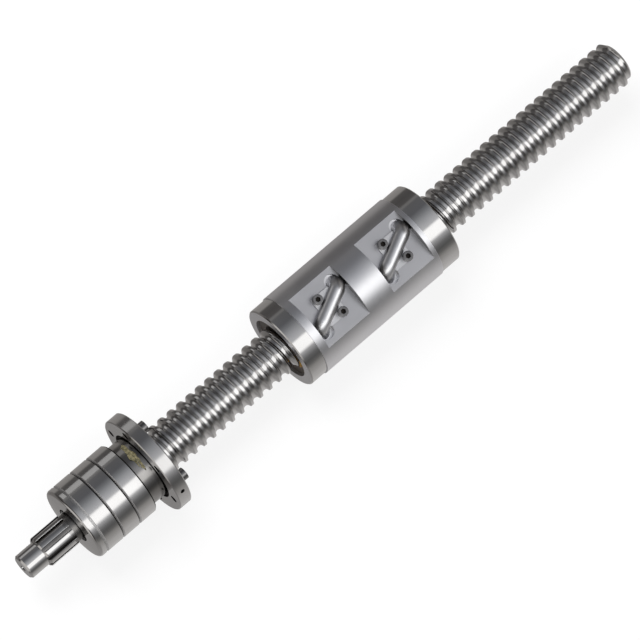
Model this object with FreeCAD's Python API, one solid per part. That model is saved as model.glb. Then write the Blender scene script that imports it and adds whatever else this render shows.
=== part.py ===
import FreeCAD, Part
import math
import os

from FreeCAD import Rotation, Vector

# Ball screw with a tube-return nut, a fixed-end bearing stack and a clamping flange.
# The screw lies along +X, from its splined drive end to its plain free end.  The origin is on the
# screw's axis, in the flange face that meets the bearing housing.  +Z points out of the nut's
# return-tube flats.  All sizes are in millimetres.

# Ball thread, right-handed, one start
screw_radius = 20.0
lead = 10.0
track_radius = 20.6          # circle on which the ball centres run
groove_radius = 3.75         # section radius of the ball groove
ball_clearance = 0.3
thread_length = 503.0
thread_phase = 0.0           # where a groove crosses the +Y side, measured from the origin
free_end_chamfer = 4.0

# Drive end of the shaft
journal_radius = 11.0
journal_length = 18.0
journal_chamfer = 1.5
spline_radius = 13.8
spline_root_radius = 11.9
spline_teeth = 10
spline_groove_width = 3.6
spline_length = 29.3
spline_relief_length = 5.0   # of the neck between the teeth and the end ring
spline_relief_radius = 12.6
spline_chamfer = 1.6
spline_angle = 90.0          # of one gap between teeth
seat_radius = 15.0           # bearing and lock-nut seat
centre_hole_radius = 1.6
centre_cone_radius = 3.2
centre_hole_depth = 8.0

# Bearing stack
bearing_count = 3
bearing_width = 17.1
bearing_radius = 33.2
bearing_ball_radius = 4.5
bearing_ball_count = 11
inner_ring_wall = 6.4
race_gap = 5.6               # between a bearing's two rings
ring_edge_chamfer = 1.2
cage_width = 12.0
cage_ring_gap = 1.2          # between a cage and each of its rings
cage_gap = 0.35              # between a bearing ball and its cage pocket

# End ring, lock nut and washer
end_ring_width = 7.4
end_ring_wall = 2.2
end_ring_bore_radius = 16.0
end_ring_rounding = 3.0
lock_nut_radius = 22.0
lock_nut_width = 3.4
lock_nut_slot_count = 4
lock_nut_slot_width = 5.0
lock_nut_slot_depth = 2.2
lock_nut_slot_angle = 45.0
lock_washer_thickness = 1.2
lock_washer_tab_count = 9
lock_washer_tab_width = 4.0
lock_washer_tab_height = 2.0

# Clamping flange, its seal and its screws
flange_radius = 45.0
flange_thickness = 12.0
flange_edge_chamfer = 0.8
flange_recess_radius = 31.5
flange_recess_depth = 4.0
spigot_radius = 28.5
spigot_length = 14.2
flange_bore_gap = 1.2        # around the spacer sleeve
flange_hole_count = 6
flange_hole_radius = 3.35
flange_hole_depth = 4.5
flange_hole_circle = 37.2
flange_hole_angle = 104.0
rim_hole_radius = 1.9
rim_hole_depth = 8.0
rim_hole_angle = 142.0
seal_width = 6.0
seal_section = 5.0
seal_running_gap = 0.08
flange_screw_count = 4
flange_screw_circle = 34.0
flange_screw_angle = 48.0
flange_screw_radius = 3.0
flange_screw_depth = 6.5
sleeve_radius = 20.6
sleeve_overhang = 3.0        # of the spacer sleeve beyond the flange

# Nut
nut_body_radius = 38.6
nut_land_radius = 37.7
nut_length = 160.7
nut_drive_land = 16.0
nut_free_land = 19.2
nut_edge_chamfer = 1.0
nut_bore_radius = 21.2
nut_counterbore_radius = 28.5
nut_counterbore_depth = 7.0
nut_rest_leads = 22.5        # from the thread's phase to the nut's middle, in leads
wiper_width = 4.0
wiper_gap = 0.35             # around the screw's crest
wiper_fit = 0.05

# Return tubes in their milled flats
circuit_spacing_leads = 7
circuit_turns = 4            # groove crossings that one tube spans
ball_spacing = 21.0          # along the track, every third ball of a full train
flat_depth = 8.9             # of a milled flat below the nut's round
flat_length = 44.0
tube_radius = 6.6
tube_wall = 2.6
tube_rise = 2.6              # of the crossing run's middle line above the flat
tube_reach = 16.2            # of each elbow from the flat's middle, along the screw
tube_offset = 7.8            # of each elbow from the flat's middle, across the screw
tube_bend_radius = 7.0
tube_end_gap = 1.2           # between a tube's mouth and the screw's crest
tube_fit = 0.15
passage_gap = 0.1            # around a ball between a tube's mouth and the track
passage_stop = 2.5           # of the passage before the point where it meets the track
slot_radius = 6.3
slot_along = 14.8            # of a leg's slot from the flat's middle
slot_across = 13.8
slot_depth = 5.0
lug_thickness = 1.6
lug_length = 18.5
lug_width = 26.8
lug_screw_along = 4.75
lug_screw_across = 10.1
lug_screw_radius = 2.5
lug_screw_floor = 1.05       # left between a lug screw's tip and the ball groove

# Socket-head screws, in proportion to their thread
head_radius_ratio = 1.7
head_height_ratio = 2.0
socket_width_ratio = 1.6
socket_depth_ratio = 1.0
head_rounding_ratio = 0.15

fit = 0.02                   # radial gap of seats that are pressed or screwed on
knots_per_turn = 12          # of the helical surfaces
groove_points = 7            # that shape a groove's section

# Places along the screw
thread_start = flange_thickness + sleeve_overhang
thread_end = thread_start + thread_length
stack_end = -spigot_length
bearing_start = stack_end - bearing_count * bearing_width
stack_start = bearing_start - end_ring_width
relief_end = stack_start + end_ring_wall
spline_end = stack_start - spline_relief_length
spline_start = spline_end - spline_length
shaft_start = spline_start - journal_length
nut_middle = thread_phase + lead / 4 + nut_rest_leads * lead
nut_start = nut_middle - nut_length / 2
nut_end = nut_middle + nut_length / 2
circuit_middles = [nut_middle + side * circuit_spacing_leads * lead / 2 for side in (-1, 1)]

X_AXIS = Vector(1, 0, 0)
Y_AXIS = Vector(0, 1, 0)
Z_AXIS = Vector(0, 0, 1)
ORIGIN = Vector(0, 0, 0)
ball_radius = groove_radius - ball_clearance

# Sizes that follow from the others
inner_ring_outer_radius = seat_radius + inner_ring_wall
outer_ring_inner_radius = inner_ring_outer_radius + race_gap
race_radius = inner_ring_outer_radius + race_gap / 2
flat_height = nut_body_radius - flat_depth
tube_height = flat_height + tube_rise
lug_screw_depth = flat_height - track_radius - groove_radius - lug_screw_floor


def cylinder(radius, start, end):
    """A cylinder on the screw's axis."""
    return Part.makeCylinder(radius, end - start, Vector(start, 0, 0), X_AXIS)


def ring(inner, outer, start, end):
    """A plain ring on the screw's axis."""
    return cylinder(outer, start, end).cut(cylinder(inner, start, end))


def turned(outline):
    """A solid of revolution about the screw's axis, from (x, radius) points."""
    points = [Vector(x, 0, radius) for x, radius in outline]
    face = Part.Face(Part.makePolygon(points + points[:1]))
    return face.revolve(ORIGIN, X_AXIS, 360)


def around(radius, angle, x=0.0):
    """The point at an angle about the screw's axis, counted from +Y towards +Z."""
    turn = math.radians(angle)
    return Vector(x, radius * math.cos(turn), radius * math.sin(turn))


def on_circle(shape, count, first_angle):
    """Copies of a shape made at +Y, spread evenly about the screw's axis."""
    copies = []
    for index in range(count):
        copy = shape.copy()
        copy.rotate(ORIGIN, X_AXIS, first_angle + index * 360.0 / count)
        copies.append(copy)
    return copies


def track_angle(x):
    """The angle at which the ball track crosses the plane at x, in degrees."""
    return 360.0 * (x - thread_phase) / lead


def thread_profile(land_radius, side):
    """One lead of the thread's outline along its axis: the groove's arc and the land's line.

    Points are (along, radius, 0).  A groove reaches inwards on the screw (side -1) and outwards in
    the nut (side +1).
    """
    half_angle = math.acos(side * (land_radius - track_radius) / groove_radius)
    points = []
    for index in range(groove_points):
        slope = half_angle * (2.0 * index / (groove_points - 1) - 1.0)
        along = groove_radius * math.sin(slope)
        points.append(Vector(along, track_radius + side * groove_radius * math.cos(slope), 0))
    groove = Part.BSplineCurve()
    groove.interpolate(points)
    land = Part.LineSegment(points[-1], points[0] + X_AXIS * lead).toBSpline()
    return [groove, land]


def helical_faces(curve, start, turns):
    """The faces that an axial curve sweeps along the ball track, one for each turn.

    The rows of poles are copies of the curve's own poles, turned and shifted step by step, so a
    uniform cubic spline follows the helix.  The poles lie outside the helix by the factor that puts
    the spline's joints on it.
    """
    step = 360.0 / knots_per_turn
    outside = 3.0 / (2.0 + math.cos(math.radians(step)))
    spans = turns * knots_per_turn
    rows = []
    for row in range(-1, spans + 2):
        turn = Rotation(X_AXIS, track_angle(start) + row * step)
        shift = X_AXIS * (start + lead * row / knots_per_turn)
        rows.append([turn.multVec(Vector(pole.x, pole.y * outside, 0)) + shift
                     for pole in curve.getPoles()])
    row_knots = list(range(-3, spans + 4))
    surface = Part.BSplineSurface()
    surface.buildFromPolesMultsKnots(
        rows, [1] * len(row_knots), curve.getMultiplicities(), row_knots, curve.getKnots(),
        False, False, 3, curve.Degree)
    faces = []
    for first in range(0, spans, knots_per_turn):
        part = surface.copy()
        part.segment(first, first + knots_per_turn, curve.FirstParameter, curve.LastParameter)
        faces.append(part.toShape())
    return faces


def threaded_core(land_radius, side, start, end):
    """A threaded rod that is fully formed from start to end, and closed about a lead beyond.

    Each of its ends is a ramp, one turn long, and the flat step from the ramp's foot to its top.
    """
    first = start - lead
    turns = math.ceil((end - start) / lead) + 2
    groove, land = thread_profile(land_radius, side)
    faces = helical_faces(groove, first, turns) + helical_faces(land, first, turns)
    edge = groove.value(groove.FirstParameter)
    for place in (first, first + turns * lead):
        turn = Rotation(X_AXIS, track_angle(place))
        outline = [curve.toShape() for curve in (groove, land)]
        foot = Vector(edge.x, 0, 0)
        corners = [edge + X_AXIS * lead, foot + X_AXIS * lead, foot, edge]
        outline += [Part.makeLine(*pair) for pair in zip(corners, corners[1:])]
        step_face = Part.Face(Part.Wire(Part.__sortEdges__(outline)))
        step_face.Placement = FreeCAD.Placement(X_AXIS * place, turn)
        ramp_line = Part.LineSegment(foot, edge).toBSpline()
        faces.append(step_face)
        faces.extend(helical_faces(ramp_line, place, 1))
    shell = Part.Shell(faces)
    shell.sewShape()
    return Part.Solid(shell)


def socket_head_screw(radius, grip, depth):
    """A socket-head screw along -Z, with the underside of its head at the origin."""
    head_radius = head_radius_ratio * radius
    head_height = head_height_ratio * radius
    screw = Part.makeCylinder(head_radius, head_height)
    rim = [edge for edge in screw.Edges if edge.BoundBox.ZMin > head_height / 2
           and edge.BoundBox.ZLength < fit]
    screw = screw.makeFillet(head_rounding_ratio * radius, rim)
    screw = screw.fuse(Part.makeCylinder(radius, grip + depth, ORIGIN, -Z_AXIS))
    corner = socket_width_ratio * radius / math.sqrt(3.0)
    corners = [Vector(corner * math.cos(side * math.pi / 3), corner * math.sin(side * math.pi / 3),
                      head_height - socket_depth_ratio * radius) for side in range(7)]
    socket = Part.Face(Part.makePolygon(corners)).extrude(Vector(0, 0, head_height))
    return screw.cut(socket).removeSplitter()


def screw_shaft():
    """The screw itself: journal, spline, bearing seat and ball thread, turned from one bar."""
    shank = turned([
        (shaft_start, 0), (shaft_start, journal_radius - journal_chamfer),
        (shaft_start + journal_chamfer, journal_radius), (spline_start, journal_radius),
        (spline_start, spline_radius - spline_chamfer),
        (spline_start + spline_chamfer, spline_radius), (spline_end, spline_radius),
        (spline_end, spline_relief_radius), (relief_end, spline_relief_radius),
        (relief_end, seat_radius), (thread_start + lead, seat_radius), (thread_start + lead, 0)])
    groove_depth = spline_radius - spline_root_radius
    gap = Part.makeBox(spline_end - spline_start, 2 * groove_depth, spline_groove_width)
    gap.translate(Vector(spline_start, spline_root_radius, -spline_groove_width / 2))
    shank = shank.cut(Part.makeCompound(on_circle(gap, spline_teeth, spline_angle)))
    blunt_radius = screw_radius - free_end_chamfer
    envelope = turned([
        (thread_start, 0), (thread_start, screw_radius + lead),
        (thread_end - free_end_chamfer - lead, screw_radius + lead),
        (thread_end, blunt_radius), (thread_end, 0)])
    thread = threaded_core(screw_radius, -1, thread_start, thread_end)
    shaft = thread.common(envelope).fuse(shank)
    cone_depth = (centre_cone_radius - centre_hole_radius) * math.sqrt(3.0)
    for end, inwards in ((shaft_start, 1), (thread_end, -1)):
        shaft = shaft.cut(turned([
            (end, 0), (end, centre_cone_radius), (end + inwards * cone_depth, centre_hole_radius),
            (end + inwards * centre_hole_depth, centre_hole_radius),
            (end + inwards * centre_hole_depth, 0)]))
    return shaft


def race_groove(start):
    """The round groove that a bearing's balls run in, cut into both of its rings."""
    middle = start + bearing_width / 2
    section = bearing_ball_radius + ball_clearance
    return Part.makeTorus(race_radius, section, Vector(middle, 0, 0), X_AXIS)


def bearing_outer_ring(start):
    end = start + bearing_width
    blank = turned([
        (start, outer_ring_inner_radius), (start, bearing_radius - ring_edge_chamfer),
        (start + ring_edge_chamfer, bearing_radius), (end - ring_edge_chamfer, bearing_radius),
        (end, bearing_radius - ring_edge_chamfer), (end, outer_ring_inner_radius)])
    return blank.cut(race_groove(start))


def bearing_inner_ring(start):
    blank = ring(seat_radius + fit, inner_ring_outer_radius, start, start + bearing_width)
    return blank.cut(race_groove(start))


def ball_places(start):
    """The centres of one bearing's balls."""
    middle = start + bearing_width / 2
    return [around(race_radius, index * 360.0 / bearing_ball_count, middle)
            for index in range(bearing_ball_count)]


def bearing_balls(start):
    return Part.makeCompound(
        [Part.makeSphere(bearing_ball_radius, place) for place in ball_places(start)])


def bearing_cage(start):
    middle = start + bearing_width / 2
    cage = ring(inner_ring_outer_radius + cage_ring_gap, outer_ring_inner_radius - cage_ring_gap,
                middle - cage_width / 2, middle + cage_width / 2)
    pocket = Part.makeCylinder(
        bearing_ball_radius + cage_gap, 2 * race_radius, Vector(middle, 0, 0), Y_AXIS)
    return cage.cut(Part.makeCompound(on_circle(pocket, bearing_ball_count, 0.0)))


def bearing_end_ring():
    """The cup-shaped ring that closes the stack's drive end, over the lock nut."""
    cup = turned([
        (stack_start, end_ring_bore_radius), (stack_start, bearing_radius),
        (bearing_start - ring_edge_chamfer, bearing_radius),
        (bearing_start, bearing_radius - ring_edge_chamfer),
        (bearing_start, outer_ring_inner_radius), (relief_end, outer_ring_inner_radius),
        (relief_end, end_ring_bore_radius)])
    rim = [edge for edge in cup.Edges if edge.BoundBox.XMax < stack_start + fit
           and edge.BoundBox.ZMax > bearing_radius - fit]
    return cup.makeFillet(end_ring_rounding, rim)


def lock_nut():
    end = bearing_start - lock_washer_thickness
    start = end - lock_nut_width
    nut = ring(seat_radius + fit, lock_nut_radius, start, end)
    slot = Part.makeBox(lock_nut_width, 2 * lock_nut_slot_depth, lock_nut_slot_width)
    slot.translate(Vector(start, lock_nut_radius - lock_nut_slot_depth, -lock_nut_slot_width / 2))
    return nut.cut(Part.makeCompound(on_circle(slot, lock_nut_slot_count, lock_nut_slot_angle)))


def lock_washer():
    start = bearing_start - lock_washer_thickness
    washer = ring(seat_radius + fit, inner_ring_outer_radius, start, bearing_start)
    tab = Part.makeBox(lock_washer_thickness, 2 * lock_washer_tab_height, lock_washer_tab_width)
    root = inner_ring_outer_radius - lock_washer_tab_height
    tab.translate(Vector(start, root, -lock_washer_tab_width / 2))
    return washer.fuse(on_circle(tab, lock_washer_tab_count, 0.0)).removeSplitter()


def spacer_sleeve():
    """The dark collar between the last inner ring and the thread's shoulder."""
    return ring(seat_radius + fit, sleeve_radius, stack_end, thread_start)


def seal_seat_radius():
    return sleeve_radius + seal_running_gap + seal_section


def retaining_flange():
    bore = sleeve_radius + flange_bore_gap
    seal_start = flange_thickness - seal_width
    blank = turned([
        (stack_end, bore), (stack_end, spigot_radius), (flange_recess_depth, spigot_radius),
        (flange_recess_depth, flange_recess_radius), (0, flange_recess_radius),
        (0, flange_radius - flange_edge_chamfer), (flange_edge_chamfer, flange_radius),
        (flange_thickness - flange_edge_chamfer, flange_radius),
        (flange_thickness, flange_radius - flange_edge_chamfer),
        (flange_thickness, seal_seat_radius()), (seal_start, seal_seat_radius()), (seal_start, bore)])
    bolt_hole = Part.makeCylinder(
        flange_hole_radius, flange_hole_depth, Vector(0, flange_hole_circle, 0), X_AXIS)
    holes = on_circle(bolt_hole, flange_hole_count, flange_hole_angle)
    screw_hole = Part.makeCylinder(
        flange_screw_radius + fit, flange_screw_depth,
        Vector(flange_thickness, flange_screw_circle, 0), -X_AXIS)
    holes += on_circle(screw_hole, flange_screw_count, flange_screw_angle)
    rim_hole = Part.makeCylinder(
        rim_hole_radius, flange_radius,
        Vector(flange_thickness / 2, flange_radius - rim_hole_depth, 0), Y_AXIS)
    holes += on_circle(rim_hole, 1, rim_hole_angle)
    return blank.cut(Part.makeCompound(holes))


def flange_screws():
    screw = socket_head_screw(flange_screw_radius, 0.0, flange_screw_depth)
    screw.rotate(ORIGIN, Y_AXIS, 90)
    screw.translate(Vector(flange_thickness, flange_screw_circle, 0))
    return Part.makeCompound(on_circle(screw, flange_screw_count, flange_screw_angle))


def shaft_seal():
    inner = sleeve_radius + seal_running_gap
    return ring(inner, seal_seat_radius(), flange_thickness - seal_width, flange_thickness)


def touch_angle():
    """Where a tube's +Y leg, seen along the screw, runs straight into the ball track."""
    elbow_distance = math.hypot(tube_offset, tube_height)
    elbow_angle = math.degrees(math.atan2(tube_height, tube_offset))
    return elbow_angle - math.degrees(math.acos(track_radius / elbow_distance))


def circuit_half_length():
    """Half the distance along the screw between the two ends of one ball circuit."""
    return lead * (circuit_turns / 2 - (90.0 - touch_angle()) / 360.0)


def touch_point(middle):
    """Where the line of a tube's +Y leg meets the ball track."""
    return around(track_radius, touch_angle(), middle + circuit_half_length())


def half_tube_path(middle):
    """The +Y half of a tube's centre line: its middle, its elbow and its lower end."""
    elbow = Vector(middle + tube_reach, tube_offset, tube_height)
    drop = touch_point(middle) - elbow
    inner_reach = track_radius - tube_radius
    stop = math.sqrt((screw_radius + tube_end_gap) ** 2 - inner_reach ** 2)
    lower_end = elbow + drop * (1.0 - stop / drop.Length)
    return Vector(middle, 0, tube_height), elbow, lower_end


def half_tube(middle, radius):
    """A solid round bar along the +Y half of a tube's centre line, with a bent elbow."""
    centre, elbow, lower_end = half_tube_path(middle)
    inwards = (centre - elbow).normalize()
    downwards = (lower_end - elbow).normalize()
    half_turn = math.acos(max(-1.0, min(1.0, inwards.dot(downwards)))) / 2
    tangent_length = tube_bend_radius / math.tan(half_turn)
    bend_start = elbow + inwards * tangent_length
    bend_end = elbow + downwards * tangent_length
    hub = elbow + (inwards + downwards).normalize() * (tube_bend_radius / math.sin(half_turn))
    run = Part.makeCylinder(radius, (bend_start - centre).Length, centre, -inwards)
    leg = Part.makeCylinder(radius, (lower_end - bend_end).Length, bend_end, downwards)
    disc = Part.Face(Part.Wire(Part.makeCircle(radius, bend_start, inwards)))
    bend_axis = (hub - bend_start).cross(inwards)
    elbow_solid = disc.revolve(hub, bend_axis, 180.0 - math.degrees(2 * half_turn))
    return run.fuse([elbow_solid, leg])


def whole_tube(middle, radius):
    """Both halves of a tube: the second is the first, turned half a turn about the flat's normal."""
    half = half_tube(middle, radius)
    other = half.copy()
    other.rotate(Vector(middle, 0, 0), Z_AXIS, 180)
    return half.fuse(other).removeSplitter()


def return_tube(middle):
    return whole_tube(middle, tube_radius).cut(whole_tube(middle, tube_radius - tube_wall))


def tube_run(middle, radius):
    """A straight bar along the tube's crossing run, from elbow to elbow."""
    elbow = half_tube_path(middle)[1]
    start = Vector(2 * middle - elbow.x, -elbow.y, elbow.z)
    return Part.makeCylinder(radius, (elbow - start).Length, start, elbow - start)


def lug_screw_places(middle):
    return [Vector(middle - side * lug_screw_along, side * lug_screw_across, flat_height)
            for side in (-1, 1)]


def tube_lugs(middle):
    """The two triangular lugs brazed to a tube's sides: one plate that the tube parts in two."""
    plate = Part.makeBox(lug_length, lug_width, lug_thickness)
    plate.translate(Vector(middle - lug_length / 2, -lug_width / 2, flat_height))
    holes = [Part.makeCylinder(lug_screw_radius + fit, lug_thickness, place)
             for place in lug_screw_places(middle)]
    return plate.cut(Part.makeCompound([tube_run(middle, tube_radius)] + holes))


def lug_screws():
    screws = []
    for middle in circuit_middles:
        for place in lug_screw_places(middle):
            screw = socket_head_screw(lug_screw_radius, lug_thickness, lug_screw_depth)
            screw.translate(place + Vector(0, 0, lug_thickness))
            screws.append(screw)
    return Part.makeCompound(screws)


def leg_slot(middle):
    """The round recess through which the +Y leg of a tube enters its flat."""
    floor_centre = Vector(middle + slot_along, slot_across, flat_height - slot_depth)
    return Part.makeCylinder(slot_radius, 2 * slot_depth, floor_centre)


def ball_passage(middle):
    """The drilled way from the mouth of a tube's +Y leg into the ball track."""
    mouth = half_tube_path(middle)[2]
    way = touch_point(middle) - mouth
    return Part.makeCylinder(ball_radius + passage_gap, way.Length - passage_stop, mouth, way)


def nut_blank():
    """The nut as turned: two ground lands, the wider body and a counterbore at each end."""
    drive_step = nut_start + nut_drive_land
    free_step = nut_end - nut_free_land
    drive_floor = nut_start + nut_counterbore_depth
    free_floor = nut_end - nut_counterbore_depth
    outside = turned([
        (nut_start, 0), (nut_start, nut_land_radius - nut_edge_chamfer),
        (nut_start + nut_edge_chamfer, nut_land_radius), (drive_step, nut_land_radius),
        (drive_step, nut_body_radius), (free_step, nut_body_radius), (free_step, nut_land_radius),
        (nut_end - nut_edge_chamfer, nut_land_radius),
        (nut_end, nut_land_radius - nut_edge_chamfer), (nut_end, 0)])
    blank = outside.cut(cylinder(nut_counterbore_radius, nut_start - lead, drive_floor))
    blank = blank.cut(cylinder(nut_counterbore_radius, free_floor, nut_end + lead))
    return blank.cut(threaded_core(nut_bore_radius, 1, drive_floor, free_floor))


def nut_body():
    nut = nut_blank()
    for middle in circuit_middles:
        flat = Part.makeBox(flat_length, 2 * nut_body_radius, nut_body_radius)
        flat.translate(Vector(middle - flat_length / 2, -nut_body_radius, flat_height))
        cuts = [flat, whole_tube(middle, tube_radius + tube_fit)]
        for leg_cut in (leg_slot(middle), ball_passage(middle)):
            other = leg_cut.copy()
            other.rotate(Vector(middle, 0, 0), Z_AXIS, 180)
            cuts += [leg_cut, other]
        cuts += [Part.makeCylinder(lug_screw_radius + fit, lug_screw_depth, place, -Z_AXIS)
                 for place in lug_screw_places(middle)]
        for cut in cuts:
            nut = nut.cut(cut)
    return nut


def nut_balls(middle):
    """The balls of one circuit, spread along the track between the two legs of its tube."""
    circuit_length = 2 * circuit_half_length()
    track_length = math.hypot(2.0 * math.pi * track_radius, lead) * circuit_length / lead
    count = int(track_length / ball_spacing)
    balls = []
    for index in range(count):
        x = middle + circuit_length * ((index + 0.5) / count - 0.5)
        balls.append(Part.makeSphere(ball_radius, around(track_radius, track_angle(x), x)))
    return Part.makeCompound(balls)


def nut_wiper(start):
    return ring(screw_radius + wiper_gap, nut_counterbore_radius - wiper_fit, start, start + wiper_width)


nodes = {
    "screw_shaft": screw_shaft(),
    "bearing_end_ring": bearing_end_ring(),
    "lock_nut": lock_nut(),
    "lock_washer": lock_washer(),
    "spacer_sleeve": spacer_sleeve(),
    "retaining_flange": retaining_flange(),
    "flange_screws": flange_screws(),
    "shaft_seal": shaft_seal(),
    "nut_body": nut_body(),
    "lug_screws": lug_screws(),
    "nut_wiper_drive_side": nut_wiper(nut_start + nut_counterbore_depth - wiper_width),
    "nut_wiper_free_side": nut_wiper(nut_end - nut_counterbore_depth),
}
for number in range(1, bearing_count + 1):
    place = bearing_start + (number - 1) * bearing_width
    nodes[f"bearing_outer_ring_{number}"] = bearing_outer_ring(place)
    nodes[f"bearing_inner_ring_{number}"] = bearing_inner_ring(place)
    nodes[f"bearing_cage_{number}"] = bearing_cage(place)
    nodes[f"bearing_balls_{number}"] = bearing_balls(place)
for number, middle in enumerate(circuit_middles, 1):
    nodes[f"return_tube_{number}"] = return_tube(middle)
    nodes[f"tube_lugs_{number}"] = tube_lugs(middle)
    nodes[f"nut_balls_{number}"] = nut_balls(middle)

os.makedirs("parts", exist_ok=True)
for name, shape in nodes.items():
    shape.exportStep(f"parts/{name}.step")
    state = "valid" if shape.isValid() else "INVALID"
    print(name, len(shape.Solids), "solid(s)", round(shape.Volume), "mm3", state)
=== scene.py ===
# %% [markdown]
# # A ball screw on a white table
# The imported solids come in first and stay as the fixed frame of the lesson.  Every dressed piece
# that follows takes its place from them, in metres, with +X along the screw from the splined drive
# end to the free end and +Z out of the nut's milled flats.

# %% Load the frame
import math

import bmesh
import bpy
from mathutils import Matrix, Vector, noise


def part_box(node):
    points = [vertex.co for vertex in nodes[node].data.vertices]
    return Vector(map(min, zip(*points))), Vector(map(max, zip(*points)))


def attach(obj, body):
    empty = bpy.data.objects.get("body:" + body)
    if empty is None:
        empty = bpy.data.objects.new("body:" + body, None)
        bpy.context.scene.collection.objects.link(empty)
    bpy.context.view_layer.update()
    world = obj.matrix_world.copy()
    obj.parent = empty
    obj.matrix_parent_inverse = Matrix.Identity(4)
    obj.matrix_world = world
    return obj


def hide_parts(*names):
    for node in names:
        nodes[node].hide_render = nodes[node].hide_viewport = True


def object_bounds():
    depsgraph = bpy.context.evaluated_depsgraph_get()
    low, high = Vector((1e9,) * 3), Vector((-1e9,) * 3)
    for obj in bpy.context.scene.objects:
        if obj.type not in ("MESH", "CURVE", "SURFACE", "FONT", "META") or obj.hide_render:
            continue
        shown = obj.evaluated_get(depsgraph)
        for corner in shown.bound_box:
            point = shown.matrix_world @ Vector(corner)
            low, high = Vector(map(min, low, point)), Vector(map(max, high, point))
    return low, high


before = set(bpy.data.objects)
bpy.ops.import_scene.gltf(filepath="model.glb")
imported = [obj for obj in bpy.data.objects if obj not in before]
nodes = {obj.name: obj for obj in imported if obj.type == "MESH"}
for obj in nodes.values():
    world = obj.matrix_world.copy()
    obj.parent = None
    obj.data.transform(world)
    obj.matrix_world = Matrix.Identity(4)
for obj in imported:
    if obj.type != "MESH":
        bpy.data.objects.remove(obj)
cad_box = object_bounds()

MM = 0.001
print("frame:", len(nodes), "nodes, box", [[round(c, 4) for c in corner] for corner in cad_box])

# %% [markdown]
# ## The camera
# The photograph looks steeply down on the screw with a long lens, so the shaft hardly tapers.  The
# view leans a little towards the drive end, and the camera is rolled so that the shaft climbs from
# the lower left to the upper right.  Building the camera's own axes from those two angles is more
# exact than turning it by hand.

# %% Camera
LEAN = math.radians(14.0)
ROLL = math.radians(40.5)
AIM = Vector((187.1, -3.3, 0.0)) * MM
DISTANCE = 3991 * MM
LENS = 281.25
SENSOR = 36.0

along = Vector((math.cos(LEAN), 0, math.sin(LEAN)))
across = Vector((0, 1, 0))
backward = along.cross(across)
right = along * math.cos(ROLL) - across * math.sin(ROLL)
up = along * math.sin(ROLL) + across * math.cos(ROLL)

camera = bpy.data.objects.new("camera", bpy.data.cameras.new("camera"))
camera.data.lens = LENS
camera.data.sensor_width = SENSOR
pose = Matrix((right, up, backward)).transposed().to_4x4()
pose.translation = AIM + backward * DISTANCE
camera.matrix_world = pose
bpy.context.collection.objects.link(camera)
bpy.context.scene.camera = camera
bpy.context.scene.view_settings.view_transform = "Standard"
print("camera at", [round(c, 3) for c in camera.location])

# %% [markdown]
# ## Helpers for colours and shader nodes
# Colours are written the way a paint program shows them and turned to linear light once.  One helper
# adds a shader node: plain values go into its sockets, and a socket of another node becomes a link.
# Sockets go by name or by number.  Some nodes repeat a name, and there only the number works.

# %% Colour and node helpers


def linear(hex_code, alpha=1.0):
    """The linear colour of an sRGB hex code."""
    channels = [int(hex_code[i:i + 2], 16) / 255 for i in (1, 3, 5)]
    return tuple(c / 12.92 if c <= 0.04045 else ((c + 0.055) / 1.055) ** 2.4
                 for c in channels) + (alpha,)


def add_node(tree, kind, inputs=None, **settings):
    """A new node with its settings, its socket values and its links."""
    node = tree.nodes.new(kind)
    for name, value in settings.items():
        setattr(node, name, value)
    for socket, source in (inputs or {}).items():
        if isinstance(source, bpy.types.NodeSocket):
            tree.links.new(source, node.inputs[socket])
        else:
            node.inputs[socket].default_value = source
    return node


def set_stops(ramp, stops):
    """Gives a colour ramp its stops, from (place, colour) pairs."""
    elements = ramp.color_ramp.elements
    while len(elements) < len(stops):
        elements.new(1.0)
    for element, (place, colour) in zip(elements, stops):
        element.position = place
        element.color = colour


print("mid grey is", round(linear("#808080")[0], 3), "in linear light")

# %% [markdown]
# ## The studio
# Polished steel shows the room rather than a colour of its own, so the room matters most.  Long
# strips of light and dark hang along the screw: one white strip a little past overhead, a grey ceiling
# before it, darker sides and a pale floor.  One colour ramp over the angle about the screw's axis makes
# them all, and its alpha marks the white strip for the next step.

# %% Strips of the room
# Angle about the screw's axis in degrees, 0 overhead and positive away from +Y, and the colour there.
ROOM = [
    (-180, "#bab8b7"), (-165, "#a09d9b"), (-122, "#9a9795"), (-114, "#605e5d"), (-95, "#585656"),
    (-79, "#5e5c5c"), (-74, "#828181"), (-70, "#828181"), (-66, "#6c6c6e"), (-40, "#68696d"),
    (-28, "#888a8e"), (-14, "#b0b2b6"), (0, "#cccdd1"), (7, "#d8d9dc"), (12, "#ffffff"),
    (37, "#ffffff"), (44, "#c8c8ca"), (52, "#a0a0a2"), (61, "#787879"), (72, "#636363"),
    (82, "#767574"), (94, "#a3a19f"), (120, "#c6c4c3"), (150, "#cecccb"), (180, "#bab8b7")]
WHITE_STRIP = 1.6

world = bpy.data.worlds.new("room_of_strips")
bpy.context.scene.world = world
world.use_nodes = True
tree = world.node_tree
tree.nodes.clear()
direction = add_node(tree, "ShaderNodeTexCoord").outputs["Generated"]
axes = add_node(tree, "ShaderNodeSeparateXYZ", {0: direction}).outputs
away = add_node(tree, "ShaderNodeMath", {0: axes["Y"], 1: -1.0}, operation="MULTIPLY")
angle = add_node(tree, "ShaderNodeMath", {0: away.outputs[0], 1: axes["Z"]}, operation="ARCTAN2")
place = add_node(tree, "ShaderNodeMapRange", {0: angle.outputs[0], 1: -math.pi, 2: math.pi})
strips = add_node(tree, "ShaderNodeValToRGB", {0: place.outputs[0]})
stops = []
for degrees, colour in ROOM:
    paint = linear(colour, 0.0)
    if colour == "#ffffff":
        paint = tuple(c * WHITE_STRIP for c in linear(colour))
    stops.append(((degrees + 180) / 360, paint))
set_stops(strips, stops)
white_part = strips.outputs["Alpha"]
print("room:", len(ROOM), "stops")

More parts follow.
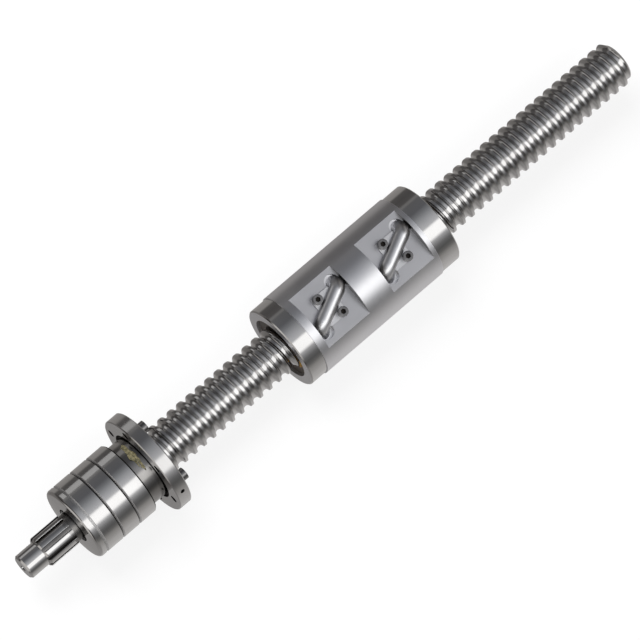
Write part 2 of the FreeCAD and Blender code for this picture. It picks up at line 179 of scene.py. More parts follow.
# %% [markdown]
# The strips don't run on for ever.  The floor towards the drive end lies in shade.  Further out along
# the screw the strips fade into dark walls, the white one last and the floor only in part, so the
# flanks of the thread have something dark to show.

# %% Shade and walls
# Each pair is where a change starts and ends, as the part of a direction that points up or along the screw.
DARK_WALLS = "#332f2d"
DEEPEST_SHADE = 0.4
SHADE_HEIGHTS = (0.1, -0.4)
SHADE_ALONG = (0.08, -0.2)
STRIP_FADE = (0.42, 0.78)
WHITE_FADE = (0.62, 0.96)
FLOOR_HEIGHTS = (-0.35, -0.1)
WALLS_ON_FLOOR = 0.2

low = add_node(tree, "ShaderNodeMapRange", {0: axes["Z"], 1: SHADE_HEIGHTS[0], 2: SHADE_HEIGHTS[1],
                                            3: 0.0, 4: DEEPEST_SHADE})
shade = add_node(tree, "ShaderNodeMapRange", {0: axes["X"], 1: SHADE_ALONG[0], 2: SHADE_ALONG[1],
                                              3: 0.0, 4: low.outputs[0]})
shaded = add_node(tree, "ShaderNodeMix", {"Factor": shade.outputs[0], 6: strips.outputs[0],
                                          7: linear(DARK_WALLS)}, data_type="RGBA")
slant = add_node(tree, "ShaderNodeMath", {0: axes["X"]}, operation="ABSOLUTE")
fade_start, fade_end = (add_node(tree, "ShaderNodeMapRange", {0: white_part, 3: strip, 4: white_strip})
                        for strip, white_strip in zip(STRIP_FADE, WHITE_FADE))
beyond = add_node(tree, "ShaderNodeMapRange", {0: slant.outputs[0], 1: fade_start.outputs[0],
                                               2: fade_end.outputs[0]}, interpolation_type="SMOOTHSTEP")
above_floor = add_node(tree, "ShaderNodeMapRange", {
    0: axes["Z"], 1: FLOOR_HEIGHTS[0], 2: FLOOR_HEIGHTS[1], 3: WALLS_ON_FLOOR, 4: 1.0})
wall_part = add_node(tree, "ShaderNodeMath", {0: beyond.outputs[0], 1: above_floor.outputs[0]},
                     operation="MULTIPLY")
walls = add_node(tree, "ShaderNodeMix", {"Factor": wall_part.outputs[0], 6: shaded.outputs[2],
                                         7: linear(DARK_WALLS)}, data_type="RGBA")
print("strips fade along the screw from", STRIP_FADE[0], "to", STRIP_FADE[1])

# %% [markdown]
# A pale door beyond the drive end and a greyer one beyond the free end light the chamfers and end faces
# that look that way.  The camera itself sees plain white in place of the room.

# %% Doors and background
PALE_DOOR = "#d9d6d3"
FAR_DOOR = "#8d8b89"
DOOR_EDGE = (0.78, 0.9)

room_colour = walls.outputs[2]
for side, colour in ((-1, PALE_DOOR), (1, FAR_DOOR)):
    at_door = add_node(tree, "ShaderNodeMapRange", {0: axes["X"], 1: side * DOOR_EDGE[0],
                                                    2: side * DOOR_EDGE[1]},
                       interpolation_type="SMOOTHSTEP")
    door = add_node(tree, "ShaderNodeMix", {"Factor": at_door.outputs[0], 6: room_colour,
                                            7: linear(colour)}, data_type="RGBA")
    room_colour = door.outputs[2]
path = add_node(tree, "ShaderNodeLightPath").outputs
room = add_node(tree, "ShaderNodeBackground", {"Color": room_colour, "Strength": 1.0})
white = add_node(tree, "ShaderNodeBackground", {"Color": (1, 1, 1, 1), "Strength": 1.0})
seen = add_node(tree, "ShaderNodeMixShader",
                {0: path["Is Camera Ray"], 1: room.outputs[0], 2: white.outputs[0]})
add_node(tree, "ShaderNodeOutputWorld", {0: seen.outputs[0]})
print("room:", len(tree.nodes), "shader nodes")

# %% [markdown]
# ## The table
# The part rests on a white sheet, and the sheet burns out to white except where the part shades it.
# The camera sees mostly even white and a little of the lit sheet, so the shadow stays pale.  The steel
# doesn't mirror the sheet, because the room has a floor of its own.

# %% Table
TABLE_SIZE = 4.0
SHEET_GLOW = 0.80

table_mesh = bmesh.new()
bmesh.ops.create_grid(table_mesh, x_segments=1, y_segments=1, size=TABLE_SIZE,
                      matrix=Matrix.Translation((0, 0, cad_box[0].z)))
table = bpy.data.objects.new("table", bpy.data.meshes.new("table"))
table_mesh.to_mesh(table.data)
table_mesh.free()
bpy.context.collection.objects.link(table)
table.visible_glossy = False

# Matt paper: it scatters the light evenly, so it has no highlight and shows only the shadow.
sheet = bpy.data.materials.new("white_paper_sheet")
sheet.use_nodes = True
tree = sheet.node_tree
tree.nodes.clear()
path = add_node(tree, "ShaderNodeLightPath").outputs
paper = add_node(tree, "ShaderNodeBsdfDiffuse", {"Color": linear("#e6e6e6")})
tint = add_node(tree, "ShaderNodeBsdfDiffuse", {"Color": linear("#7c7c7c")})
glow = add_node(tree, "ShaderNodeEmission", {"Color": (1, 1, 1, 1), "Strength": SHEET_GLOW})
burnt = add_node(tree, "ShaderNodeAddShader", {0: tint.outputs[0], 1: glow.outputs[0]})
sheet_seen = add_node(tree, "ShaderNodeMixShader",
                      {0: path["Is Camera Ray"], 1: paper.outputs[0], 2: burnt.outputs[0]})
add_node(tree, "ShaderNodeOutputMaterial", {0: sheet_seen.outputs[0]})
table.data.materials.append(sheet)
print("table top at", round(cad_box[0].z, 4))

# %% [markdown]
# ## A lamp and a card
# A wide soft lamp lights the sheet and throws the part's shadow.  The steel doesn't mirror it.  A faint
# grey card stands low beside the flange, and only the pieces near it, the bearing rings and the flange,
# carry its pale band along the side that faces it.

# %% Lamp and card
LAMP_SIZE = 1.2
LAMP_POWER = 34.0
LAMP_PLACE = Vector((0.0, 1.1, 1.6))
LAMP_TARGET = Vector((0.2, 0, 0))

lamp = bpy.data.objects.new("soft_lamp", bpy.data.lights.new("soft_lamp", "AREA"))
lamp.data.size = LAMP_SIZE
lamp.data.energy = LAMP_POWER
lamp.location = LAMP_PLACE
lamp.rotation_euler = (LAMP_TARGET - LAMP_PLACE).to_track_quat("-Z", "Y").to_euler()
lamp.visible_glossy = False
bpy.context.collection.objects.link(lamp)

CARD_TURN = math.radians(86)
CARD_REACH = 360 * MM
CARD_SIZE = Vector((280, 130)) * MM
CARD_GREY = 0.4
LIT_SPOT = Vector((55, 22, 25)) * MM

card = bpy.data.objects.new("side_card", bpy.data.lights.new("side_card", "AREA"))
card.data.shape = "RECTANGLE"
card.data.size, card.data.size_y = CARD_SIZE
card.data.energy = CARD_GREY * math.pi * CARD_SIZE.x * CARD_SIZE.y
facing = Vector((0, math.sin(CARD_TURN), math.cos(CARD_TURN)))
card.location = LIT_SPOT + facing * CARD_REACH
card.rotation_euler = (-facing).to_track_quat("-Z", "Y").to_euler()
card.visible_camera = False
bpy.context.collection.objects.link(card)
print("card of", round(card.data.energy, 3), "W at", [round(c, 3) for c in card.location])

# %% [markdown]
# ## Steel finishes
# Nearly every piece is steel, and what tells the pieces apart is how each was finished.  Grinding and
# turning leave fine lines round the axis, milling and tumbling leave an even satin.  One recipe makes
# them all: a noise that is stretched along the tool's path varies the roughness and lifts the surface
# by a hair, and a wide, even noise varies the colour and the roughness, as smears from handling do.
# Real tool marks are finer than the picture's dots, so they are drawn about a millimetre apart, as
# coarse as they need to be to show.

# %% Steel recipe
SMEAR_MM = 28.0


def steel(name, light, dark, roughness, spread, line_mm, run_mm, relief_mm):
    """A bare steel whose tool marks are line_mm apart along the screw and run_mm long around it."""
    material = bpy.data.materials.new(name)
    material.use_nodes = True
    tree = material.node_tree
    tree.nodes.clear()
    spot = add_node(tree, "ShaderNodeTexCoord").outputs["Object"]
    marks_at = add_node(tree, "ShaderNodeMapping", {
        "Vector": spot, "Scale": (1 / (line_mm * MM), 1 / (run_mm * MM), 1 / (run_mm * MM))})
    marks = add_node(tree, "ShaderNodeTexNoise", {
        "Vector": marks_at.outputs[0], "Scale": 1.0, "Detail": 2.0, "Roughness": 0.5})
    smears = add_node(tree, "ShaderNodeTexNoise", {
        "Vector": spot, "Scale": 1 / (SMEAR_MM * MM), "Detail": 2.0, "Roughness": 0.5})
    tone = add_node(tree, "ShaderNodeValToRGB", {0: smears.outputs["Fac"]})
    set_stops(tone, [(0.3, linear(dark)), (0.7, linear(light))])
    tooled = add_node(tree, "ShaderNodeMapRange", {
        0: marks.outputs["Fac"], 1: 0.25, 2: 0.75, 3: roughness - spread, 4: roughness + spread})
    handled = add_node(tree, "ShaderNodeMapRange", {
        0: smears.outputs["Fac"], 1: 0.3, 2: 0.7, 3: -spread, 4: spread})
    haze = add_node(tree, "ShaderNodeMath", {0: tooled.outputs[0], 1: handled.outputs[0]})
    relief = add_node(tree, "ShaderNodeBump", {
        "Height": marks.outputs["Fac"], "Distance": relief_mm * MM, "Strength": 1.0})
    metal = add_node(tree, "ShaderNodeBsdfPrincipled", {
        "Base Color": tone.outputs[0], "Metallic": 1.0, "Roughness": haze.outputs[0],
        "Normal": relief.outputs[0]})
    add_node(tree, "ShaderNodeOutputMaterial", {0: metal.outputs[0]})
    return material


# %% [markdown]
# The ground surfaces come close to mirrors and are told apart by their haze.  Only the chamfers of the
# rings are coarse enough to scatter the light, and those towards the drive end are paler as a painted
# highlight.

# %% Ground and turned finishes
# Ground and honed ball thread: bright, with faint lines along the groove.
thread_steel = steel("ground_screw_steel", "#d2d1d0", "#c5c4c3", 0.10, 0.02, 0.9, 25, 0.002)
# Ground bearing rings: a near mirror with soft edges to its reflections.
ring_steel = steel("ground_bearing_steel", "#cfcecd", "#c5c4c3", 0.13, 0.02, 0.9, 30, 0.0005)
# Turned flange: a shade darker than the rings, with a little more haze.
flange_steel = steel("turned_steel", "#c8c7c6", "#bebdbc", 0.16, 0.02, 0.8, 25, 0.0006)
# Ground lands at the nut's ends: a mirror, a little clearer than the bearing rings.
land_steel = steel("ground_land_steel", "#cfcecd", "#c6c5c4", 0.10, 0.015, 0.9, 30, 0.0004)
# Chamfers towards the drive end: rough, so they scatter the light, and paler than the rings as a painted
# highlight.
highlight_chamfer_steel = steel("painted_highlight_chamfer_steel", "#f2f2f2", "#e6e6e6", 0.48, 0.03, 0.5, 8, 0.0)
# Lapped balls: a mirror.
ball_steel = steel("ball_steel", "#d2d2d2", "#cecece", 0.05, 0.01, 2.0, 2.0, 0.0)
# The flange's neck was ground: a mirror dulled in streaks, darker than the flange as painted shade beside
# the bearings.
streaked_shade_steel = steel("streaked_shade_steel", "#b0aeac", "#7c7a78", 0.17, 0.03, 1.0, 12, 0.0006)
print("ground:", [m.name for m in (thread_steel, ring_steel, flange_steel, land_steel, streaked_shade_steel)])

# %% [markdown]
# The tumbled, milled and pressed surfaces melt the strips of the room into soft bands.  The darker steels
# of holes, sockets, recesses and gaps are painted shade.

# %% Satin and dark finishes
# Tumbled nut body: satin, so the strips of the room melt into each other.
nut_steel = steel("satin_nut_steel", "#e9e9eb", "#e1e1e4", 0.36, 0.02, 0.9, 9, 0.0)
# Milled flats of the nut: crossing cutter marks make an even satin, darker than the tumbled round.
flat_steel = steel("milled_flat_steel", "#bfbfc2", "#b5b5b8", 0.38, 0.015, 1.5, 1.5, 0.0)
# Stamped lugs of the tubes: rolled sheet, paler than the flats that they lie on.
lug_steel = steel("stamped_lug_steel", "#dcdcde", "#d1d1d3", 0.38, 0.015, 1.5, 1.5, 0.0)
# Pressed and polished return tubes: pale satin.
tube_steel = steel("tube_steel", "#f0f0f1", "#e6e6e8", 0.34, 0.02, 3.0, 3.0, 0.0)
# Cap screws: heat-treated, the colour of dark pewter.
screw_steel = steel("blackened_steel", "#8c8b8b", "#757474", 0.24, 0.03, 0.8, 0.8, 0.0006)
# Lock nut and collar: an oxide layer, dark with a soft gloss.
black_steel = steel("oxide_black_steel", "#4a4744", "#3a3836", 0.30, 0.05, 0.8, 0.8, 0.001)
# Spline root, shank neck, flange recess and the nut's pocket walls: a darker, duller steel as painted
# shade.
recess_shade_steel = steel("recess_shade_steel", "#8a8886", "#706e6c", 0.26, 0.03, 1.0, 12, 0.0006)
# Holes, sockets, spline gaps and the rings' free-side chamfers: rough near-black steel as painted shade.
deep_shade_steel = steel("painted_deep_shade_steel", "#35322f", "#24211f", 0.40, 0.05, 0.8, 0.8, 0.002)
# Pressed cages: brass with a rubbed gloss.
cage_brass = steel("cage_brass", "#c9a45c", "#b8924c", 0.28, 0.05, 1.0, 4.0, 0.001)
print("satin and dark:", [m.name for m in (nut_steel, flat_steel, lug_steel, tube_steel, recess_shade_steel)])

# %% [markdown]
# ## Rubber, plastic and grease
# The seal lip and the two wipers are the only soft parts, and they sit deep in their bores.  Grease
# shows as olive and amber smears beside the flange and at the nut: glossy and never even.  An even
# grain that moves the colour and the surface is enough for all of them.

# %% Soft finishes


def moulded(name, light, dark, roughness, grain_mm, relief_mm):
    """A moulded or smeared material with an even grain."""
    material = bpy.data.materials.new(name)
    material.use_nodes = True
    tree = material.node_tree
    tree.nodes.clear()
    spot = add_node(tree, "ShaderNodeTexCoord").outputs["Object"]
    grain = add_node(tree, "ShaderNodeTexNoise", {
        "Vector": spot, "Scale": 1 / (grain_mm * MM), "Detail": 4.0, "Roughness": 0.55})
    tone = add_node(tree, "ShaderNodeValToRGB", {0: grain.outputs["Fac"]})
    set_stops(tone, [(0.35, linear(dark)), (0.65, linear(light))])
    relief = add_node(tree, "ShaderNodeBump", {
        "Height": grain.outputs["Fac"], "Distance": relief_mm * MM, "Strength": 1.0})
    body = add_node(tree, "ShaderNodeBsdfPrincipled", {
        "Base Color": tone.outputs[0], "Roughness": roughness, "Normal": relief.outputs[0]})
    add_node(tree, "ShaderNodeOutputMaterial", {0: body.outputs[0]})
    return material


# Moulded seal lip: nearly black rubber with a dull skin.
seal_rubber = moulded("seal_rubber", "#33312f", "#242322", 0.5, 0.6, 0.02)
# Moulded wipers: dark brown plastic with a soft gloss.
wiper_plastic = moulded("wiper_plastic", "#4b3f33", "#3a3028", 0.4, 0.8, 0.02)
# Fresh bearing grease: olive and wet.
grease = moulded("bearing_grease", "#857d60", "#4a4733", 0.3, 2.0, 0.3)
# Old grease at the wiper: dried to amber.
old_grease = moulded("old_grease", "#b58a3a", "#7a5a22", 0.35, 1.5, 0.2)
print("soft finishes:", [m.name for m in (seal_rubber, wiper_plastic, grease, old_grease)])

# %% [markdown]
# ## From a bmesh to a finished piece
# Every piece ends the same way: doubles merged, faces turned outwards, edges sharper than a set angle
# kept crisp, and then it takes its body, its finish and the solid that it stands for.  A second helper
# gives another finish to some of a piece's faces, as when a turned part is ground in one place.

# %% Finishing helpers
SHARP = math.radians(32)
SAME_POINT = 0.002 * MM


def finish_piece(bm, name, body, material, stands_for=(), sharp=SHARP):
    """Turns a bmesh into a piece that rides a body."""
    bmesh.ops.remove_doubles(bm, verts=bm.verts, dist=SAME_POINT)
    bmesh.ops.recalc_face_normals(bm, faces=bm.faces)
    mesh = bpy.data.meshes.new(name)
    bm.to_mesh(mesh)
    bm.free()
    if "custom_normal" in mesh.attributes:
        mesh.attributes.remove(mesh.attributes["custom_normal"])
    mesh.shade_smooth()
    mesh.set_sharp_from_angle(angle=sharp)
    mesh.materials.append(material)
    piece = bpy.data.objects.new(name, mesh)
    bpy.context.collection.objects.link(piece)
    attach(piece, body)
    if stands_for:
        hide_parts(*stands_for)
    print(name, len(mesh.polygons), "faces")
    return piece


def refinish(piece, material, chosen):
    """Gives a second finish to the faces that chosen(middle in mm, normal) picks."""
    piece.data.materials.append(material)
    picked = [face for face in piece.data.polygons if chosen(face.center / MM, face.normal)]
    for face in picked:
        face.material_index = len(piece.data.materials) - 1
    print(piece.name, "has", len(picked), "faces of", material.name)


# %% [markdown]
# ## The ball thread
# A ball screw's groove is a round-bottomed helix, ground to a mirror, with narrow lands between its
# turns.  The outline of one lead is an arc and two half lands with their corners rounded.  An arc is a
# spun vertex, and a vertex bevel rounds the corners.

# %% Outline of one lead
LEAD = 10.0
CREST_RADIUS = 20.0
TRACK_RADIUS = 20.6
GROOVE_RADIUS = 3.75
CREST_ROUNDING = 0.3
ARC_STEPS = 14
THREAD_START = 15.0

shaft_low, shaft_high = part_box("screw_shaft")
thread_end = shaft_high.x / MM
first_groove = LEAD * math.floor(THREAD_START / LEAD - 1)
half_arc = math.acos((TRACK_RADIUS - CREST_RADIUS) / GROOVE_RADIUS)
half_groove = GROOVE_RADIUS * math.sin(half_arc)

bm = bmesh.new()
corner = bm.verts.new(Vector((first_groove - half_groove, CREST_RADIUS, 0)) * MM)
arc = bmesh.ops.spin(bm, geom=[corner], cent=Vector((first_groove, TRACK_RADIUS, 0)) * MM,
                     axis=(0, 0, 1), dvec=(0, 0, 0), angle=2 * half_arc, steps=ARC_STEPS)
far_corner = [part for part in arc["geom_last"] if isinstance(part, bmesh.types.BMVert)][0]
for edge_vert, side in ((corner, -1), (far_corner, 1)):
    land_middle = bm.verts.new(Vector((first_groove + side * LEAD / 2, CREST_RADIUS, 0)) * MM)
    bm.edges.new((edge_vert, land_middle))
bmesh.ops.bevel(bm, geom=[corner, far_corner], offset=CREST_ROUNDING * MM, segments=3,
                affect="VERTICES", profile=0.5, material=-1)
print("outline of one lead:", len(bm.verts), "points")

# %% [markdown]
# Spinning that outline once about the axis, with a small shift along the axis at every step, makes one
# turn.  Copies of it, a lead apart, meet exactly, so doubling the turns a few times is enough for any
# length.  Two cuts bring the thread to its size, and the crests at the free end are pulled in for the
# chamfer.

# %% Turns of the thread
AXIS = Vector((1, 0, 0))
STEPS_PER_TURN = 64
END_CHAMFER = 4.0
ON_CUT = 0.0001 * MM

bmesh.ops.spin(bm, geom=bm.verts[:] + bm.edges[:], cent=(0, 0, 0), axis=AXIS,
               dvec=AXIS * (LEAD / STEPS_PER_TURN * MM), angle=2 * math.pi, steps=STEPS_PER_TURN)
turns = 1
while first_groove + turns * LEAD < thread_end + LEAD:
    copies = bmesh.ops.duplicate(bm, geom=bm.verts[:] + bm.edges[:] + bm.faces[:])["geom"]
    bmesh.ops.translate(bm, vec=AXIS * (turns * LEAD * MM),
                        verts=[part for part in copies if isinstance(part, bmesh.types.BMVert)])
    turns *= 2
bmesh.ops.remove_doubles(bm, verts=bm.verts, dist=SAME_POINT)
rims = []
for place, outwards in ((THREAD_START, -1), (thread_end, 1)):
    cut = bmesh.ops.bisect_plane(
        bm, geom=bm.verts[:] + bm.edges[:] + bm.faces[:], dist=ON_CUT,
        plane_co=AXIS * (place * MM), plane_no=AXIS * outwards, clear_outer=True)
    rims.append([part for part in cut["geom_cut"] if isinstance(part, bmesh.types.BMEdge)])
for vert in bm.verts:
    blunt = CREST_RADIUS - END_CHAMFER + thread_end - vert.co.x / MM
    if vert.co.yz.length > blunt * MM:
        vert.co.yz *= blunt * MM / vert.co.yz.length
bmesh.ops.contextual_create(bm, geom=rims[0])
print("thread:", round((thread_end - THREAD_START) / LEAD, 1), "turns")

# %% [markdown]
# The free end keeps the drilled centre that carried the bar in the grinding machine.  The small hole
# is spun from its outline, and a bridge of faces joins its mouth to the chamfered end.

# %% Free end
CENTRE_CONE = 3.2
CENTRE_HOLE = 1.6
CENTRE_DEPTH = 8.0
TURNING_STEPS = 128
# How close in mm a point or a face must be to a surface to count as lying on it.
NEAR = 0.1
cone_depth = (CENTRE_CONE - CENTRE_HOLE) * math.sqrt(3)


def turn_outline(bm, outline):
    """Spins an open outline of (x, radius) points about the screw's axis."""
    verts = [bm.verts.new(Vector((x, radius, 0)) * MM) for x, radius in outline]
    edges = [bm.edges.new(pair) for pair in zip(verts, verts[1:])]
    bmesh.ops.spin(bm, geom=verts + edges, cent=(0, 0, 0), axis=AXIS, dvec=(0, 0, 0),
                   angle=2 * math.pi, steps=TURNING_STEPS, use_merge=True)


turn_outline(bm, [(thread_end, CENTRE_CONE), (thread_end - cone_depth, CENTRE_HOLE),
                  (thread_end - CENTRE_DEPTH, CENTRE_HOLE), (thread_end - CENTRE_DEPTH, 0)])
mouth = [edge for edge in bm.edges
         if edge.is_boundary and edge.verts[0].co.yz.length < 2 * CENTRE_CONE * MM
         and edge.verts[0].co.x > (thread_end - NEAR) * MM]
bmesh.ops.bridge_loops(bm, edges=[edge for edge in rims[1] if edge.is_valid] + mouth)
finish_piece(bm, "ball_thread", "screw", thread_steel, ["screw_shaft"])

# %% [markdown]
# ## The drive end
# In front of the thread the bar is stepped down: a ground journal at the very end, then the root of the
# spline, a short neck, and the bearing seat that the stack hides.  The round parts are one outline spun
# about the axis.  The root and the neck get a darker steel as painted shade.

# %% Stepped shank
SHAFT_START = shaft_low.x / MM
JOURNAL_RADIUS = 11.0
JOURNAL_CHAMFER = 1.5
SPLINE_START = SHAFT_START + 18.0
SPLINE_END = SPLINE_START + 29.3
NECK_END = SPLINE_END + 7.2
NECK_RADIUS = 12.6
ROOT_RADIUS = 11.9
SEAT_RADIUS = 15.0

bm = bmesh.new()
turn_outline(bm, [
    (SHAFT_START + CENTRE_DEPTH, 0), (SHAFT_START + CENTRE_DEPTH, CENTRE_HOLE),
    (SHAFT_START + cone_depth, CENTRE_HOLE), (SHAFT_START, CENTRE_CONE),
    (SHAFT_START, JOURNAL_RADIUS - JOURNAL_CHAMFER), (SHAFT_START + JOURNAL_CHAMFER, JOURNAL_RADIUS),
    (SPLINE_START, JOURNAL_RADIUS), (SPLINE_START, ROOT_RADIUS), (SPLINE_END, ROOT_RADIUS),
    (SPLINE_END, NECK_RADIUS), (NECK_END, NECK_RADIUS), (NECK_END, SEAT_RADIUS),
    (THREAD_START, SEAT_RADIUS), (THREAD_START, 0)])
shank = finish_piece(bm, "splined_shank", "screw", thread_steel)
# The root and the neck: a darker steel as painted shade.
refinish(shank, recess_shade_steel, lambda spot, normal: SPLINE_START < spot.x < NECK_END)

# %% [markdown]
# The spline's teeth are straight and were milled between the journal and the neck.  One tooth's end
# outline is an arc for its tip, two flanks and a foot inside the root.  It is drawn out along the bar,
# and its front is pulled in for the lead-in chamfer.

# %% One spline tooth
SPLINE_RADIUS = 13.8
TEETH = 10
GAP_WIDTH = 3.6
LEAD_IN = 1.6
FOOT_IN_ROOT = 0.5
TIP_STEPS = 6

bm = bmesh.new()
pitch = 2 * math.pi / TEETH
half_gap = math.asin(GAP_WIDTH / 2 / SPLINE_RADIUS)
first_turn = Matrix.Rotation(math.pi / 2 + half_gap, 3, "X")
tip_corner = bm.verts.new(first_turn @ Vector((0, SPLINE_RADIUS, 0)) * MM)
tip_corner.co.x = SPLINE_START * MM
tip = bmesh.ops.spin(bm, geom=[tip_corner], cent=(0, 0, 0), axis=AXIS, dvec=(0, 0, 0),
                     angle=pitch - 2 * half_gap, steps=TIP_STEPS)
far_corner = [part for part in tip["geom_last"] if isinstance(part, bmesh.types.BMVert)][0]
down = Vector((0, 0, -1)) * ((SPLINE_RADIUS - ROOT_RADIUS + FOOT_IN_ROOT) * MM)
feet = []
for vert, turn in ((tip_corner, 0.0), (far_corner, pitch)):
    feet.append(bm.verts.new(vert.co + Matrix.Rotation(turn, 3, "X") @ down))
    bm.edges.new((vert, feet[-1]))
bm.edges.new(feet)
bmesh.ops.contextual_create(bm, geom=bm.edges[:])
drawn = bmesh.ops.extrude_face_region(bm, geom=bm.faces[:])["geom"]
bmesh.ops.translate(bm, vec=AXIS * ((SPLINE_END - SPLINE_START) * MM),
                    verts=[part for part in drawn if isinstance(part, bmesh.types.BMVert)])
bmesh.ops.bisect_plane(bm, geom=bm.verts[:] + bm.edges[:] + bm.faces[:], dist=ON_CUT,
                       plane_co=AXIS * ((SPLINE_START + LEAD_IN) * MM), plane_no=AXIS)
front = [vert for vert in bm.verts if vert.co.x < (SPLINE_START + LEAD_IN / 2) * MM
         and vert.co.yz.length > (SPLINE_RADIUS - NEAR) * MM]
pull = (SPLINE_RADIUS - LEAD_IN) / SPLINE_RADIUS
bmesh.ops.scale(bm, vec=(1, pull, pull), verts=front)
print("one tooth:", len(bm.faces), "faces")

# %% [markdown]
# The tooth's long edges are broken, as a file would do it, and copies of the tooth go round the axis.
# The flanks between the teeth get a near-black steel as painted shade, which draws the dark lines of the
# spline.

# %% All spline teeth
TOOTH_EDGE = 0.3
HARD_EDGE = math.radians(40)
# How far in mm a face must be from a surface to count as clear of it.
MARGIN = 0.5
# A face looks sideways when its normal has no more than this part along the screw.
SIDEWAYS = 0.1

long_edges = [edge for edge in bm.edges if edge.calc_face_angle(0) > HARD_EDGE
              and all(vert.co.yz.length > (SPLINE_RADIUS - NEAR) * MM for vert in edge.verts)]
bmesh.ops.bevel(bm, geom=long_edges, offset=TOOTH_EDGE * MM, segments=2, affect="EDGES",
                profile=0.5, material=-1)
tooth = bm.verts[:] + bm.edges[:] + bm.faces[:]
for index in range(1, TEETH):
    copies = bmesh.ops.duplicate(bm, geom=tooth)["geom"]
    bmesh.ops.rotate(bm, cent=(0, 0, 0), matrix=Matrix.Rotation(pitch * index, 3, "X"),
                     verts=[part for part in copies if isinstance(part, bmesh.types.BMVert)])
teeth = finish_piece(bm, "spline_teeth", "screw", thread_steel)
# The flanks and feet between the teeth: near-black steel as painted shade.
refinish(teeth, deep_shade_steel, lambda spot, normal: spot.yz.length < SPLINE_RADIUS - MARGIN
         and abs(normal.x) < SIDEWAYS)

# %% [markdown]
# ## Dressed copies of the solids
# The turned and milled pieces already have the right shape as solids.  A copy with its triangles
# merged can have its hard edges broken by a small bevel, as every machined edge is, and the bevel is
# what catches the light along the edges.

# %% Copy helper
CRISP = math.radians(9)
FLAT_ENOUGH = math.radians(0.3)


def dressed_copy(names, name, body, material, edge_mm=0.0, chosen=None):
    """Merged copies of some solids, with the chosen hard edges broken by a small chamfer."""
    bm = bmesh.new()
    for node in names:
        bm.from_mesh(nodes[node].data)
    bmesh.ops.remove_doubles(bm, verts=bm.verts, dist=SAME_POINT)
    if edge_mm:
        outside = [edge for edge in bm.edges if all(chosen(vert.co / MM) for vert in edge.verts)]
        bmesh.ops.dissolve_limit(bm, angle_limit=FLAT_ENOUGH, edges=outside,
                                 verts=[vert for vert in bm.verts if chosen(vert.co / MM)])
        hard = [edge for edge in bm.edges if edge.is_manifold and edge.calc_face_angle() > SHARP
                and all(chosen(vert.co / MM) for vert in edge.verts)]
        bmesh.ops.bevel(bm, geom=hard, offset=edge_mm * MM, segments=1, affect="EDGES",
                        profile=0.5, material=-1, clamp_overlap=True)
    return finish_piece(bm, name, body, material, names, CRISP if edge_mm else SHARP)


# %% [markdown]
# ## The bearing stack
# Three bearings of equal width stand side by side behind an end ring with a rounded edge.  Their outer
# rings are ground on every face, and the small chamfers between them carry the paired dark and bright
# lines round the stack.  The solids have those chamfers already, so merged copies are enough.  The
# chamfers that face the drive end are paler as a painted highlight, and the others dark as painted shade.

# %% Bearing stack
RING_OUTSIDE = 31.0
CHAMFER_SLOPE = (0.4, 0.9)


def on_chamfer(spot, normal, side):
    """Whether a face is on a ring's outer chamfer towards the drive end (side -1) or the free end (1)."""
    return spot.yz.length > RING_OUTSIDE and CHAMFER_SLOPE[0] < side * normal.x < CHAMFER_SLOPE[1]


for number in (1, 2, 3):
    outer_ring = dressed_copy([f"bearing_outer_ring_{number}"], f"outer_ring_{number}", "support",
                              ring_steel)
    # Drive-side chamfers: a pale steel as painted highlight; free-side chamfers: near-black as painted
    # shade.
    refinish(outer_ring, highlight_chamfer_steel, lambda spot, normal: on_chamfer(spot, normal, -1))
    refinish(outer_ring, deep_shade_steel, lambda spot, normal: on_chamfer(spot, normal, 1))
dressed_copy(["bearing_end_ring"], "end_ring", "support", ring_steel)

# %% [markdown]
# ## The flange
# The flange is turned from bar.  Its rim and its faces are finished bright.  The recess round its neck
# and the neck itself are darker as painted shade, and the drilled holes are darker still as painted
# shade.  Each finish goes on by place: within the recess, on the neck, or near the middle of a hole.

# %% Clamping flange
FLANGE_EDGE = 0.25
RIM_INSIDE = 32.0
RECESS_RADIUS = 31.5
RECESS_DEPTH = 4.0
SPIGOT_LENGTH = 14.2
HOLE_RADIUS = 3.35
HOLE_DEPTH = 4.5
HOLE_CIRCLE = 37.2


def on_circle(radius, count, first):
    """The middles of a ring of holes in the Y-Z plane, from the first one's angle in degrees."""
    turns = (math.radians(first + index * 360 / count) for index in range(count))
    return [Vector((math.cos(turn), math.sin(turn))) * radius for turn in turns]


hole_middles = on_circle(HOLE_CIRCLE, count=6, first=104)
flange = dressed_copy(["retaining_flange"], "clamp_flange", "support", flange_steel,
                      FLANGE_EDGE, lambda spot: spot.yz.length > RIM_INSIDE)
# The recess round the neck: a darker steel as painted shade.
refinish(flange, recess_shade_steel, lambda spot, normal: spot.yz.length < RECESS_RADIUS + NEAR
         and NEAR - SPIGOT_LENGTH < spot.x < RECESS_DEPTH + NEAR)
# The neck: a darker, streaked steel as painted shade.
refinish(flange, streaked_shade_steel, lambda spot, normal: spot.yz.length < RECESS_RADIUS - MARGIN
         and spot.x < RECESS_DEPTH and abs(normal.x) < SIDEWAYS)
# The drilled holes: near-black steel as painted shade.
refinish(flange, deep_shade_steel, lambda spot, normal: FLANGE_EDGE < spot.x < HOLE_DEPTH + NEAR
         and any((spot.yz - middle).length < HOLE_RADIUS + NEAR for middle in hole_middles))

# %% [markdown]
# Four cap screws clamp the flange from the free side.  Their heads are rounded as solids already, and
# only the hexagon sockets get the near-black steel, as painted shade.

# %% Flange screws
FLANGE_THICKNESS = 12.0
FLANGE_SCREW_CIRCLE = 34.0
FLANGE_SOCKET_REACH = 2.6

screw_middles = on_circle(FLANGE_SCREW_CIRCLE, count=4, first=48)
flange_screws = dressed_copy(["flange_screws"], "flange_screw_set", "support", screw_steel)
